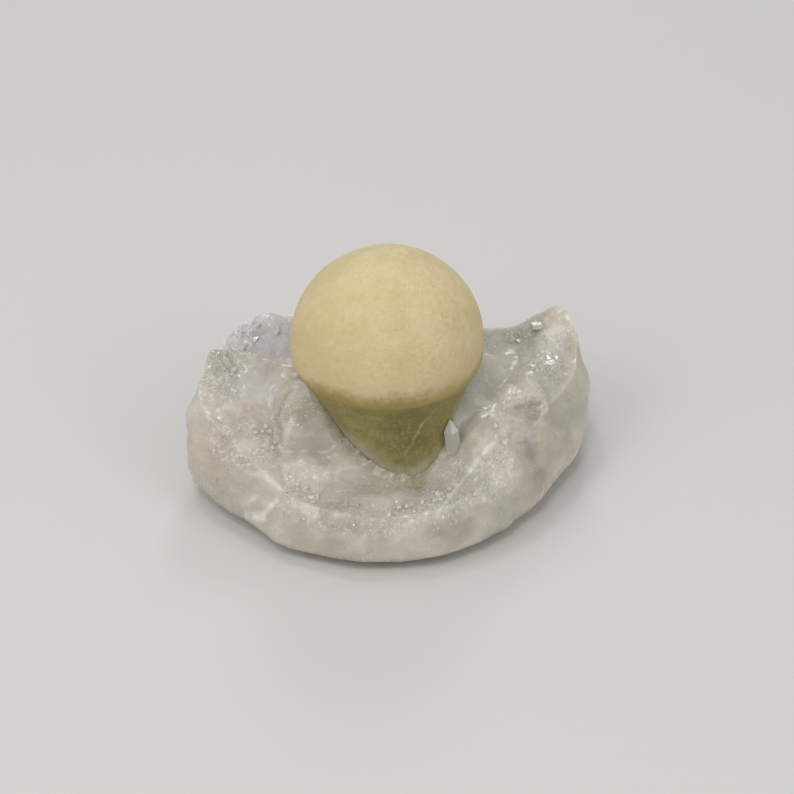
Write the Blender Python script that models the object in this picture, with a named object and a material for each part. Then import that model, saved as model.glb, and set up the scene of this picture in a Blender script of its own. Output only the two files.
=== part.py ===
"""A ball of fluorite grown on a bowl of quartz: a cabinet specimen that rests on the quartz's flat underside.

Units are metres, +Z is up, and the specimen is seen from -Y. The origin lies on the table, under the
centre of the ball. Two pieces: the fluorite, which is a ball on a tapering root, and the quartz that holds
the root, one solid with its ledges, lumps and crystal points grown into it.
"""

import math

import bmesh
import bpy
import numpy as np
from mathutils import Vector

MM = 0.001

# Fluorite: a ball whose underside tapers into a root that leans forward, into the quartz
BALL_RADIUS = 13.5 * MM
BALL_HEIGHT = 23.0 * MM  # centre of the ball above the table
BALL_SQUASH = 0.985  # the ball is this much lower than it is wide
BALL_LOWEST = 98  # degrees down from the ball's top, where the root begins
ROOT_RINGS = [  # height, centre to the right, centre to the back, radius
    (20.2 * MM, 0.0, 0.0, 12.9 * MM),
    (18.9 * MM, 0.1 * MM, -0.4 * MM, 11.9 * MM),
    (16.6 * MM, 0.4 * MM, -1.5 * MM, 10.5 * MM),
    (13.8 * MM, 1.1 * MM, -2.9 * MM, 9.2 * MM),
    (11.0 * MM, 1.9 * MM, -4.5 * MM, 7.6 * MM),
    (8.4 * MM, 2.7 * MM, -6.4 * MM, 5.6 * MM),
    (5.8 * MM, 3.2 * MM, -7.9 * MM, 3.9 * MM),
    (3.8 * MM, 3.4 * MM, -8.5 * MM, 2.4 * MM),
]
ROOT_TIP = (3.4 * MM, -8.6 * MM, 2.9 * MM)
BALL_SEGMENTS = 40
BALL_RINGS = 11
BALL_UNEVENNESS, BALL_WAVELENGTH, BALL_SEED = 0.08 * MM, 11 * MM, 5
CONTACT_GAP = 0.3 * MM  # between the fluorite and the quartz that it grew on

# Quartz: azimuths are degrees from +X, with the back at 90 and the front at 270
PLAN_RADIUS = [  # of the wall where it is widest
    (0, 28.2 * MM),
    (10, 29.7 * MM),
    (20, 30.5 * MM),
    (28, 28.7 * MM),
    (36, 24.4 * MM),
    (48, 21.3 * MM),
    (70, 20.2 * MM),
    (98, 20.4 * MM),
    (122, 23.0 * MM),
    (138, 25.4 * MM),
    (152, 28.2 * MM),
    (162, 26.6 * MM),
    (173, 26.7 * MM),
    (188, 29.2 * MM),
    (202, 27.6 * MM),
    (218, 25.0 * MM),
    (234, 24.9 * MM),
    (252, 24.0 * MM),
    (270, 23.5 * MM),
    (290, 23.4 * MM),
    (306, 23.7 * MM),
    (322, 24.3 * MM),
    (340, 25.0 * MM),
    (352, 26.6 * MM),
]
RIM_HEIGHT = [  # the upper edge of the wall
    (0, 14.6 * MM),
    (10, 17.6 * MM),
    (20, 18.6 * MM),
    (27, 18.9 * MM),
    (36, 15.6 * MM),
    (48, 13.8 * MM),
    (75, 12.6 * MM),
    (100, 12.8 * MM),
    (125, 14.2 * MM),
    (140, 15.2 * MM),
    (152, 15.0 * MM),
    (162, 13.6 * MM),
    (173, 17.6 * MM),
    (184, 16.4 * MM),
    (198, 13.2 * MM),
    (212, 10.8 * MM),
    (230, 9.4 * MM),
    (250, 9.0 * MM),
    (290, 9.2 * MM),
    (315, 10.2 * MM),
    (335, 12.0 * MM),
    (350, 13.6 * MM),
]
RIM_INSET = [  # how far the rim lies inside the widest part of the wall
    (10, 2.2 * MM),
    (30, 1.6 * MM),
    (150, 1.6 * MM),
    (175, 1.8 * MM),
    (200, 3.4 * MM),
    (230, 3.0 * MM),
    (270, 2.0 * MM),
    (305, 2.8 * MM),
    (340, 3.8 * MM),
]
VALLEY_HEIGHT = [  # the lower ground between the rim and the fluorite
    (0, 14.4 * MM),
    (20, 14.8 * MM),
    (36, 13.8 * MM),
    (75, 12.6 * MM),
    (120, 12.6 * MM),
    (150, 13.0 * MM),
    (162, 14.0 * MM),
    (173, 16.8 * MM),
    (187, 15.0 * MM),
    (205, 12.0 * MM),
    (225, 9.4 * MM),
    (250, 8.3 * MM),
    (285, 8.1 * MM),
    (308, 10.6 * MM),
    (322, 13.0 * MM),
    (335, 14.3 * MM),
    (348, 14.8 * MM),
]
COLLAR_HEIGHT = [  # where the quartz climbs the fluorite
    (0, 18.4 * MM),
    (20, 17.4 * MM),
    (45, 16.0 * MM),
    (90, 14.6 * MM),
    (135, 14.8 * MM),
    (175, 16.8 * MM),
    (205, 14.6 * MM),
    (225, 12.0 * MM),
    (257, 9.8 * MM),
    (275, 8.2 * MM),
    (293, 8.2 * MM),
    (304, 11.2 * MM),
    (313, 15.4 * MM),
    (323, 17.6 * MM),
    (334, 18.8 * MM),
    (348, 18.8 * MM),
]
COLLAR_SHARE, VALLEY_SHARE = 0.46, 0.66  # of the rim's radius
BULGE_SHARE = 0.38  # of the rim's height, where the wall is widest
FOOT_INSET = 5.2 * MM  # the flat underside's edge, inside the widest part
FOOT_CURVE, RIM_CURVE = 2.2, 1.8  # powers: how late the wall turns in towards its foot and its rim
LOBE_CURVE = 1.5  # power: how late the upper side climbs to the rim
GRID_AROUND = 192
GRID_FOOT, GRID_WALL, GRID_TOP = 5, 26, 52

# Lumps on the upper side: x, y, half length along x and y, turn in degrees, height
LUMPS = {
    "left_lobe": (-20.6 * MM, -5.0 * MM, 5.2 * MM, 8.5 * MM, 8, 1.1 * MM),
    "left_crest": (-20.0 * MM, 1.8 * MM, 5.0 * MM, 2.6 * MM, 0, 1.0 * MM),
    "back_left_lobe": (-17.6 * MM, 13.2 * MM, 5.4 * MM, 3.6 * MM, -30, 1.2 * MM),
    "knob": (-11.7 * MM, -5.4 * MM, 3.8 * MM, 3.7 * MM, -8, 3.2 * MM),
    "shelf_under_knob": (-11.0 * MM, -12.0 * MM, 4.2 * MM, 2.7 * MM, 8, 1.6 * MM),
    "front_swell": (-1.0 * MM, -17.0 * MM, 4.6 * MM, 2.4 * MM, 0, 0.7 * MM),
    "right_slope": (13.6 * MM, -10.4 * MM, 3.8 * MM, 4.8 * MM, -35, 1.5 * MM),
    "right_shoulder": (20.4 * MM, 0.6 * MM, 4.2 * MM, 3.6 * MM, 20, 1.3 * MM),
    "right_peak": (23.4 * MM, 10.4 * MM, 3.2 * MM, 2.6 * MM, 30, 1.0 * MM),
    "right_foot": (20.8 * MM, -8.6 * MM, 3.0 * MM, 4.4 * MM, 25, 1.1 * MM),
}
LUMP_FLATNESS = 1.6  # power: 1 is a bell, more is flatter on top and steeper at the side

# Ledges on the upper side: a step across a straight edge of some length: x, y of its middle, half length,
# direction that the step faces in degrees, drop, and the distance over which the step dies away
LEDGES = {
    "lobe_edge": (-21.0 * MM, 4.6 * MM, 6.0 * MM, 86, 2.2 * MM, 4.0 * MM),
    "valley_edge": (-15.4 * MM, -12.0 * MM, 6.5 * MM, 12, 0.5 * MM, 4.0 * MM),
    "knob_side": (-15.2 * MM, -6.0 * MM, 3.0 * MM, 190, 1.0 * MM, 2.2 * MM),
    "knob_foot": (-11.2 * MM, -9.2 * MM, 3.4 * MM, -84, 0.9 * MM, 2.0 * MM),
    "right_ledge": (18.8 * MM, -3.6 * MM, 3.0 * MM, -72, 1.8 * MM, 3.4 * MM),
    "flute_edge": (20.6 * MM, -8.6 * MM, 4.2 * MM, 170, 1.3 * MM, 2.6 * MM),
    "root_ledge": (-6.4 * MM, -12.6 * MM, 3.0 * MM, -60, 0.8 * MM, 2.6 * MM),
}
LEDGE_SOFTNESS = 0.35 * MM
LEDGE_SWELL = 0.5  # of the drop, by which the ground rises to the edge
LEDGE_END = 4  # power: how squarely a ledge stops at its ends

# Chips in the wall: azimuth, height, half size, depth
CHIPS = {
    "left_chip": (227, 7.0 * MM, 3.0 * MM, 0.9 * MM),
    "left_nick": (176, 12.5 * MM, 1.9 * MM, 0.8 * MM),
    "right_nick": (14, 14.0 * MM, 1.8 * MM, 0.9 * MM),
    "right_facet": (336, 8.0 * MM, 3.4 * MM, 0.7 * MM),
    "front_facet": (306, 5.0 * MM, 3.6 * MM, 0.6 * MM),
    "back_hollow": (82, 7.0 * MM, 5.0 * MM, 1.3 * MM),
    "back_right_hollow": (50, 6.5 * MM, 3.6 * MM, 0.9 * MM),
    "back_left_hollow": (138, 6.5 * MM, 3.8 * MM, 0.9 * MM),
}
CHIP_EDGE = 4  # power: how sharply a chip ends
SLOPE_STEP = 0.8 * MM  # over which the upper side's slope is measured
RIM_REACH = 1.05  # shares past the rim count as this much at most

WAVE_SPREAD = (0.7, 1.5)  # shares of the wavelength that the waves have
BLOCK_TABLE, BLOCK_STEPS = 512, (73, 179, 283)  # how many kinds of block, and how they are spread
BLOCK_PLACE = (0.15, 0.85)  # of a cell, where a block's seed may lie
ROUGHNESS_WAVES = [(11.0 * MM, 0.34 * MM, 21), (5.0 * MM, 0.12 * MM, 22)]  # wavelength, height, seed
FACET_CELL = 4.6 * MM  # size of the flat faces that the quartz has broken into
FACET_RELIEF, FACET_MEAN, FACET_SEED = 1.05 * MM, 0.55, 7
FACET_SIDEWAYS, FACET_UPWARD = 0.6, 0.8  # shares of the relief that move the surface out and up
ROUGH_UPWARD = 0.6  # share of the waves that moves the surface up
FOOT_FADE, RIM_FADE = 0.3, 0.2  # of the wall's height and of the way in from the rim, where relief fades
QUARTZ_TRIANGLES = 4600

# Crystal points: each patch's azimuths, its shares of the rim's radius, how many, and the widest crystal
CRYSTAL_PATCHES = {
    "front_ridge": ((229, 303), (0.85, 0.95), 36, 1.4 * MM),
    "right_rim": ((312, 331), (0.82, 0.94), 8, 1.4 * MM),
    "right_wing": ((4, 21), (0.76, 0.92), 10, 1.6 * MM),
    "right_crest": ((24, 40), (0.80, 0.94), 7, 1.6 * MM),
    "left_corner": ((169, 183), (0.80, 0.95), 9, 1.4 * MM),
    "left_band": ((194, 211), (0.68, 0.84), 8, 1.2 * MM),
    "back_left": ((134, 157), (0.78, 0.94), 10, 1.7 * MM),
    "back": ((66, 106), (0.78, 0.93), 10, 2.0 * MM),
}
CRYSTAL_SEED = 11
CRYSTAL_ROOT = 1.5 * MM  # how deep a crystal is sunk in the quartz
CRYSTAL_COVER = 0.10  # of its width, by which its prism ends under the surface
CRYSTAL_TIP = 0.52  # of its width: the height of the pyramid on the prism
CRYSTAL_NARROWEST = 0.6  # of the widest in its patch
CRYSTAL_SPREAD = 0.32  # how far the crystals turn away from the surface's own direction

# The larger crystal that leans on the root: foot, direction, width, length to the shoulder
ROOT_CRYSTAL = ((9.5 * MM, -9.7 * MM, 9.4 * MM), (-0.14, 0.12, 1.0), 2.8 * MM, 5.0 * MM)
ROOT_CRYSTAL_TIP = 1.6 * MM
CRYSTAL_FLATTENING = 0.85

CREAM, CREAM_ROUGHNESS = (0.62, 0.51, 0.27, 1.0), 0.55
QUARTZ_GREY, QUARTZ_ROUGHNESS = (0.46, 0.44, 0.39, 1.0), 0.25


def clear_scene():
    for item in list(bpy.data.objects):
        bpy.data.objects.remove(item)


def material(name, colour, roughness):
    made = bpy.data.materials.new(name)
    made.use_nodes = True
    shader = made.node_tree.nodes["Principled BSDF"]
    shader.inputs["Base Color"].default_value = colour
    shader.inputs["Roughness"].default_value = roughness
    shader.inputs["Metallic"].default_value = 0.0
    made.diffuse_color = colour
    return made


def object_from(name, mesh, finish):
    item = bpy.data.objects.new(name, mesh)
    bpy.context.scene.collection.objects.link(item)
    mesh.materials.append(finish)
    return item


def around(stations, azimuth):
    """The smooth closed curve through (azimuth, value) stations, read at each azimuth in degrees."""
    angles, values = np.array(stations, float).T
    angles = np.concatenate([angles[-2:] - 360, angles, angles[:2] + 360])
    values = np.concatenate([values[-2:], values, values[:2]])
    slopes = np.gradient(values, angles)
    before = np.searchsorted(angles, azimuth, side="right") - 1
    width = angles[before + 1] - angles[before]
    t = (azimuth - angles[before]) / width
    rise = t * t * (3 - 2 * t)
    bend = slopes[before] * t * (1 - t) ** 2 - slopes[before + 1] * t * t * (1 - t)
    return values[before] * (1 - rise) + values[before + 1] * rise + width * bend


def waves(points, wavelength, seed, count=18):
    """Smooth unevenness between about -1 and 1: the mean of sine waves running in random directions."""
    random = np.random.default_rng(seed)
    directions = random.normal(size=(count, 3))
    directions /= np.linalg.norm(directions, axis=1, keepdims=True)
    lengths = wavelength * random.uniform(*WAVE_SPREAD, count)
    phases = random.uniform(0, 2 * math.pi, count)
    turns = points @ (directions / lengths[:, None]).T * 2 * math.pi + phases
    return np.sin(turns).sum(axis=-1) / math.sqrt(count)


def facets(points, cell, seed):
    """Flat-sided relief, as if blocks had grown from random seeds: near 1 over a seed, near 0 between two."""
    random = np.random.default_rng(seed)
    jitter = random.uniform(*BLOCK_PLACE, (BLOCK_TABLE, 3))
    turns, _ = np.linalg.qr(random.normal(size=(BLOCK_TABLE, 3, 3)))
    own = np.floor(points / cell).astype(int)
    nearest = np.full(points.shape[:-1], np.inf)
    for step in np.ndindex(3, 3, 3):
        block = own + np.array(step) - 1
        pick = (block @ BLOCK_STEPS) % BLOCK_TABLE
        away = points / cell - (block + jitter[pick])
        turned = np.einsum("...ij,...j->...i", turns[pick], away)
        nearest = np.minimum(nearest, np.abs(turned).max(axis=-1))
    return 1 - nearest


def lump(x, y, shape):
    """A flat-topped dome."""
    centre_x, centre_y, half_x, half_y, turn, height = shape
    angle = math.radians(turn)
    along = (x - centre_x) * math.cos(angle) + (y - centre_y) * math.sin(angle)
    across = (y - centre_y) * math.cos(angle) - (x - centre_x) * math.sin(angle)
    share = (along / half_x) ** 2 + (across / half_y) ** 2
    return height * np.exp(-(share**LUMP_FLATNESS))


def ledge(x, y, shape):
    """A step down across an edge, which fades at the edge's ends and away from its foot."""
    middle_x, middle_y, half_length, facing, drop, fade = shape
    angle = math.radians(facing)
    past = (x - middle_x) * math.cos(angle) + (y - middle_y) * math.sin(angle)
    beside = (y - middle_y) * math.cos(angle) - (x - middle_x) * math.sin(angle)
    fall = 0.5 + 0.5 * np.tanh(past / LEDGE_SOFTNESS)
    heal = np.exp(-(np.clip(past, 0, None) / fade) ** 2)
    swell = np.exp(-((past / fade) ** 2)) * LEDGE_SWELL
    return drop * (swell - fall * heal) * np.exp(-((beside / half_length) ** LEDGE_END))


def rim_radius(azimuth):
    return around(PLAN_RADIUS, azimuth) - around(RIM_INSET, azimuth)


def upper_side(x, y):
    """Height of the quartz's upper side over the table."""
    azimuth = np.degrees(np.arctan2(y, x)) % 360
    share = np.hypot(x, y) / rim_radius(azimuth)
    collar = around(COLLAR_HEIGHT, azimuth)
    valley = around(VALLEY_HEIGHT, azimuth)
    rim = around(RIM_HEIGHT, azimuth)
    inner = np.clip((share - COLLAR_SHARE) / (VALLEY_SHARE - COLLAR_SHARE), 0, 1)
    outer = np.clip((share - VALLEY_SHARE) / (1 - VALLEY_SHARE), 0, RIM_REACH)
    height = collar + (valley - collar) * inner * inner * (3 - 2 * inner)
    height += (rim - valley) * outer**LOBE_CURVE
    for shape in LUMPS.values():
        height += lump(x, y, shape)
    for shape in LEDGES.values():
        height += ledge(x, y, shape)
    return height


def quartz_rings():
    """Rings of points from the middle of the underside, up the wall, over the rim, to the middle of the top.

    With them comes each ring's climb: 0 on the underside, 1 at the rim, 2 at the middle of the top.
    """
    azimuth = np.arange(GRID_AROUND) * 360 / GRID_AROUND
    turn = np.radians(azimuth)
    plan = around(PLAN_RADIUS, azimuth)
    rim = rim_radius(azimuth)
    rim_x, rim_y = rim * np.cos(turn), rim * np.sin(turn)
    rim_z = upper_side(rim_x, rim_y)
    rings = []
    climb = []
    for share in np.linspace(0, 1, GRID_FOOT + 1)[1:-1]:
        radius = (plan - FOOT_INSET) * share
        rings.append(np.stack([radius * np.cos(turn), radius * np.sin(turn), 0 * turn], axis=1))
        climb.append(0.0)
    for share in np.linspace(0, 1, GRID_WALL + 1):
        below = np.clip((BULGE_SHARE - share) / BULGE_SHARE, 0, 1) ** FOOT_CURVE
        above = np.clip((share - BULGE_SHARE) / (1 - BULGE_SHARE), 0, 1) ** RIM_CURVE
        radius = plan - FOOT_INSET * below - (plan - rim) * above
        rings.append(np.stack([radius * np.cos(turn), radius * np.sin(turn), rim_z * share], axis=1))
        climb.append(share)
    for share in np.linspace(1, 0, GRID_TOP + 1)[1:-1]:
        x, y = rim_x * share, rim_y * share
        rings.append(np.stack([x, y, upper_side(x, y)], axis=1))
        climb.append(2 - share)
    return np.array(rings), np.array(climb)


def chips(rings):
    """How deep each point lies in a chip of the wall."""
    depths = np.zeros(rings.shape[:2])
    for azimuth, height, half_size, depth in CHIPS.values():
        radius = around(PLAN_RADIUS, azimuth)
        angle = math.radians(azimuth)
        middle = (radius * math.cos(angle), radius * math.sin(angle), height)
        distance = np.linalg.norm(rings - middle, axis=2)
        depths += depth * np.exp(-((distance / half_size) ** CHIP_EDGE))
    return depths


def unevenness(points):
    """How far soft waves and flat broken faces move the surface at each point."""
    push = np.zeros(points.shape[:-1])
    for wavelength, height, seed in ROUGHNESS_WAVES:
        push += height * waves(points, wavelength, seed)
    return push, FACET_RELIEF * (facets(points, FACET_CELL, FACET_SEED) - FACET_MEAN)


def roughened(rings, climb):
    """The rings with uneven, faceted sides and chips. The flat underside stays flat."""
    outward = rings * (1, 1, 0)
    outward /= np.linalg.norm(outward, axis=2, keepdims=True)
    upward_share = np.clip(climb / FOOT_FADE, 0, 1)[:, None]
    sideways_share = upward_share * np.clip(1 - (climb - 1) / RIM_FADE, 0, 1)[:, None]
    push, faceted = unevenness(rings)
    sideways = (push + faceted * FACET_SIDEWAYS - chips(rings)) * sideways_share
    rings = rings + outward * sideways[..., None]
    rings[..., 2] += (push * ROUGH_UPWARD + faceted * FACET_UPWARD) * upward_share
    return rings


def quartz_body_mesh():
    rings = roughened(*quartz_rings())
    count, size = rings.shape[:2]
    points = np.concatenate([rings.reshape(-1, 3), [(0, 0, 0), rings[-1].mean(axis=0)]])
    foot, crown = len(points) - 2, len(points) - 1
    last = (count - 1) * size
    faces = []
    for k in range(size):
        beside = (k + 1) % size
        for here in range(0, last, size):
            above = here + size
            faces.append((here + k, here + beside, above + beside, above + k))
        faces.append((foot, beside, k))
        faces.append((crown, last + k, last + beside))
    mesh = bpy.data.meshes.new("quartz")
    mesh.from_pydata([tuple(p) for p in points], [], faces)
    return mesh


def add_crystal(bm, foot, direction, width, length, tip):
    """A six-sided quartz point: a prism that ends in a pyramid."""
    axis = Vector(direction).normalized()
    side = axis.orthogonal().normalized()
    other = axis.cross(side)
    foot = Vector(foot)
    loops = []
    for height in (0.0, length):
        loop = []
        for k in range(6):
            angle = math.radians(60 * k)
            reach = side * math.cos(angle) + other * (CRYSTAL_FLATTENING * math.sin(angle))
            loop.append(bm.verts.new(foot + axis * height + reach * width / 2))
        loops.append(loop)
    point = bm.verts.new(foot + axis * (length + tip))
    bm.faces.new(reversed(loops[0]))
    for k in range(6):
        beside = (k + 1) % 6
        bm.faces.new((loops[0][k], loops[0][beside], loops[1][beside], loops[1][k]))
        bm.faces.new((loops[1][k], loops[1][beside], point))


def outward_of_top(x, y):
    """The point of the uneven upper side at x, y, and the direction that the side faces there."""
    height = float(upper_side(x, y))
    slope_x = (float(upper_side(x + SLOPE_STEP, y)) - height) / SLOPE_STEP
    slope_y = (float(upper_side(x, y + SLOPE_STEP)) - height) / SLOPE_STEP
    push, faceted = unevenness(np.array((x, y, height)))
    top = height + float(push * ROUGH_UPWARD + faceted * FACET_UPWARD)
    return Vector((x, y, top)), Vector((-slope_x, -slope_y, 1)).normalized()


def crystals_mesh():
    """The crystal points of every patch, each sunk in the quartz by its foot."""
    random = np.random.default_rng(CRYSTAL_SEED)
    bm = bmesh.new()
    for azimuths, shares, count, widest in CRYSTAL_PATCHES.values():
        for _ in range(count):
            azimuth = random.uniform(*azimuths)
            radius = random.uniform(*shares) * float(rim_radius(azimuth % 360))
            angle = math.radians(azimuth)
            at, upright = outward_of_top(radius * math.cos(angle), radius * math.sin(angle))
            direction = (upright + Vector(random.normal(size=3)) * CRYSTAL_SPREAD).normalized()
            width = widest * random.uniform(CRYSTAL_NARROWEST, 1.0)
            length = CRYSTAL_ROOT - width * CRYSTAL_COVER
            add_crystal(bm, at - direction * CRYSTAL_ROOT, direction, width, length, width * CRYSTAL_TIP)
    foot, direction, width, length = ROOT_CRYSTAL
    add_crystal(bm, foot, direction, width, length, ROOT_CRYSTAL_TIP)
    bmesh.ops.recalc_face_normals(bm, faces=bm.faces)
    mesh = bpy.data.meshes.new("crystals")
    bm.to_mesh(mesh)
    bm.free()
    return mesh


def fluorite_rings(gap):
    """Rings of the ball and its root, from the top down. A gap makes them larger all round."""
    turn = np.arange(BALL_SEGMENTS) * 2 * math.pi / BALL_SEGMENTS
    circle = np.stack([np.cos(turn), np.sin(turn), 0 * turn], axis=1)
    rings = []
    for angle in np.radians(np.linspace(0, BALL_LOWEST, BALL_RINGS + 1)[1:]):
        height = BALL_HEIGHT + (BALL_RADIUS * BALL_SQUASH + gap) * math.cos(angle)
        rings.append(circle * (BALL_RADIUS + gap) * math.sin(angle) + (0, 0, height))
    for height, x, y, radius in ROOT_RINGS:
        rings.append(circle * (radius + gap) + (x, y, height))
    return np.array(rings)


def fluorite_mesh(name, gap):
    rings = fluorite_rings(gap)
    count, size = rings.shape[:2]
    top = (0, 0, BALL_HEIGHT + BALL_RADIUS * BALL_SQUASH + gap)
    tip = (ROOT_TIP[0], ROOT_TIP[1], ROOT_TIP[2] - gap)
    points = np.concatenate([rings.reshape(-1, 3), [top, tip]])
    middle = np.array((0, 0, BALL_HEIGHT))
    swell = 1 + BALL_UNEVENNESS / BALL_RADIUS * waves(points, BALL_WAVELENGTH, BALL_SEED)
    points = middle + (points - middle) * swell[:, None]
    faces = []
    for ring in range(count - 1):
        here, below = ring * size, (ring + 1) * size
        for k in range(size):
            beside = (k + 1) % size
            faces.append((here + k, below + k, below + beside, here + beside))
    last = (count - 1) * size
    for k in range(size):
        beside = (k + 1) % size
        faces.append((len(points) - 2, k, beside))
        faces.append((len(points) - 1, last + beside, last + k))
    mesh = bpy.data.meshes.new(name)
    mesh.from_pydata([tuple(p) for p in points], [], faces)
    mesh.shade_smooth()
    return mesh


def helper(name, mesh, finish):
    """An object that only cuts or joins, and is left out of the part."""
    item = object_from(name, mesh, finish)
    item.hide_render = True
    item.display_type = "WIRE"
    return item


def add_boolean(item, name, operation, other):
    modifier = item.modifiers.new(name, "BOOLEAN")
    modifier.operation = operation
    modifier.solver = "EXACT"
    modifier.object = other
    modifier.use_self = operation == "UNION"


def make_fluorite(finish):
    object_from("fluorite_ball", fluorite_mesh("fluorite_ball", 0.0), finish)


def make_quartz(finish):
    mesh = quartz_body_mesh()
    quartz = object_from("quartz_matrix", mesh, finish)
    triangles = sum(len(face.vertices) - 2 for face in mesh.polygons)
    thin = quartz.modifiers.new("fewer_faces", "DECIMATE")
    thin.ratio = QUARTZ_TRIANGLES / triangles
    add_boolean(quartz, "crystal_points", "UNION", helper("crystals", crystals_mesh(), finish))
    socket = helper("root_socket", fluorite_mesh("root_socket", CONTACT_GAP), finish)
    add_boolean(quartz, "root_socket", "DIFFERENCE", socket)


def main():
    clear_scene()
    make_fluorite(material("fluorite", CREAM, CREAM_ROUGHNESS))
    make_quartz(material("quartz", QUARTZ_GREY, QUARTZ_ROUGHNESS))


main()
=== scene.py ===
import math

import bpy
import numpy as np
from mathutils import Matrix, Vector


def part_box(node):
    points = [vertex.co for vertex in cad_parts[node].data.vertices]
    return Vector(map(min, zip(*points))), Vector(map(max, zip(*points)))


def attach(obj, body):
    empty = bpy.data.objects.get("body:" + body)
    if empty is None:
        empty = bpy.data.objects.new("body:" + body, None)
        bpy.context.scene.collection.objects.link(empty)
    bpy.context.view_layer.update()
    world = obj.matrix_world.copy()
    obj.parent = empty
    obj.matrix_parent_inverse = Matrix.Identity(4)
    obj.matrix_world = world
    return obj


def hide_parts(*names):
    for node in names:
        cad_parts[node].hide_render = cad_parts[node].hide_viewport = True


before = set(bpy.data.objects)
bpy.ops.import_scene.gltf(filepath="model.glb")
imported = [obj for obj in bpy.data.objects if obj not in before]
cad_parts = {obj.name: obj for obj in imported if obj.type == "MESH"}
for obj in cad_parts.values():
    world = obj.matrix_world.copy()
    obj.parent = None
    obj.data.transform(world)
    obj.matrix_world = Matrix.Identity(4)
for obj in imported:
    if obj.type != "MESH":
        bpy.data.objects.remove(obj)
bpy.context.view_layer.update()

mm = 0.001

# camera at the photograph's angle; the point aimed at is the middle of the picture
cameraView = {
    "ball": (0.0, 0.0, 23.0 * mm),
    "aim": (1.32 * mm, -4.67 * mm, 16.58 * mm),
    "elevation": 36,
    "distance": 300 * mm,
    "lens": 97.6,
    "clipStart": 10 * mm,
}

studio = {
    "floorSize": 1.6,
    "floorDrop": 0.05 * mm,
    "floorColour": (0.62, 0.615, 0.60, 1),
    "floorRoughness": 0.9,
    "world": 0.43,
    "worldColour": (1, 0.99, 0.97, 1),
    "middle": (0, 0, 15 * mm),  # all lights face it
    "lights": [  # place, size, power in watts, colour
        ((-0.30, -0.24, 0.38), 0.34, 0.82, (1.0, 0.98, 0.95)),
        ((0.34, -0.24, 0.34), 0.30, 0.46, (0.97, 0.98, 1.0)),
        ((0.04, 0.40, 0.34), 0.14, 0.42, (1.0, 1.0, 1.0)),
        ((-0.05, -0.32, 0.56), 0.12, 0.76, (1.0, 1.0, 1.0)),
        ((-0.14, 0.12, 0.62), 0.10, 0.34, (1.0, 1.0, 1.0)),
    ],
}


def makeCamera():
    # place = ball + distance times the unit vector at the elevation; it looks from there to the aim
    tilt = math.radians(cameraView["elevation"])
    away = Vector((0, -math.cos(tilt), math.sin(tilt)))
    camera = bpy.data.objects.new("camera", bpy.data.cameras.new("camera"))
    bpy.context.scene.collection.objects.link(camera)
    camera.location = Vector(cameraView["ball"]) + away * cameraView["distance"]
    towards = Vector(cameraView["aim"]) - camera.location
    camera.rotation_euler = towards.to_track_quat("-Z", "Y").to_euler()
    camera.data.lens = cameraView["lens"]
    camera.data.clip_start = cameraView["clipStart"]
    bpy.context.scene.camera = camera


def makeStudio():
    half, height = studio["floorSize"] / 2, -studio["floorDrop"]
    mesh = bpy.data.meshes.new("floor")
    corners = [(-half, -half, height), (half, -half, height), (half, half, height), (-half, half, height)]
    mesh.from_pydata(corners, [], [(0, 1, 2, 3)])
    floor = bpy.data.objects.new("floor", mesh)
    bpy.context.scene.collection.objects.link(floor)
    paper = bpy.data.materials.new("floorPaper")
    paper.use_nodes = True
    shader = paper.node_tree.nodes["Principled BSDF"]
    shader.inputs["Base Color"].default_value = studio["floorColour"]
    shader.inputs["Roughness"].default_value = studio["floorRoughness"]
    mesh.materials.append(paper)
    for number, (place, size, power, colour) in enumerate(studio["lights"]):
        light = bpy.data.lights.new("softbox%d" % number, "AREA")
        light.size = size
        light.energy = power
        light.color = colour
        box = bpy.data.objects.new(light.name, light)
        box.location = place
        toMiddle = Vector(studio["middle"]) - Vector(place)
        box.rotation_euler = toMiddle.to_track_quat("-Z", "Y").to_euler()
        bpy.context.scene.collection.objects.link(box)
    world = bpy.data.worlds.new("studioWorld")
    bpy.context.scene.world = world
    world.use_nodes = True
    sky = world.node_tree.nodes["Background"]
    sky.inputs["Color"].default_value = studio["worldColour"]
    sky.inputs["Strength"].default_value = studio["world"]
    bpy.context.scene.view_settings.view_transform = "Standard"


makeCamera()
makeStudio()
print("camera and studio ready")

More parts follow.
